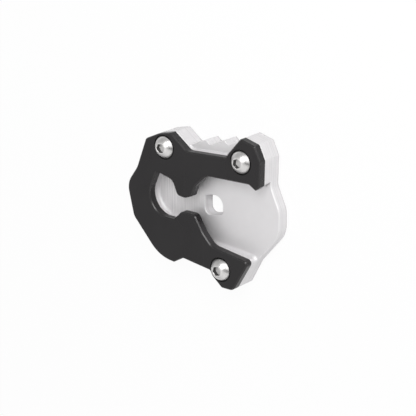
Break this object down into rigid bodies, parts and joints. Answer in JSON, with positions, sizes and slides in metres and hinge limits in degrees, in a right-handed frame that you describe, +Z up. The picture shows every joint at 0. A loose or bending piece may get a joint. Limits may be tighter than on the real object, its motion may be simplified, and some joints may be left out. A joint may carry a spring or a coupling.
{
  "type": "kickstand foot enlarger",
  "caption": "Wide aluminium foot plate with a pocket and saw-toothed edge, under a black C-shaped clamp plate held by button head socket screws.",
  "frame": {"origin": "middle of the whole part's box, on the ground face of the base plate", "axes": "+Z up through the plates from the ground face, +X from the closed end of the C towards its open side and the wide lobe, +Y towards the saw-toothed edge"},
  "size_m": [0.0828, 0.0726, 0.0166],
  "materials": {
    "base_plate": "satin silver anodised, with fine milling marks",
    "clamp_plate": "satin black anodised",
    "screws": "polished stainless steel"
  },
  "bodies": {
    "root": {"base_plate": "base_plate", "clamp_plate": "clamp_plate", "upper_left_screw": "screws", "upper_right_screw": "screws", "lower_screw": "screws"}
  },
  "joints": []
}
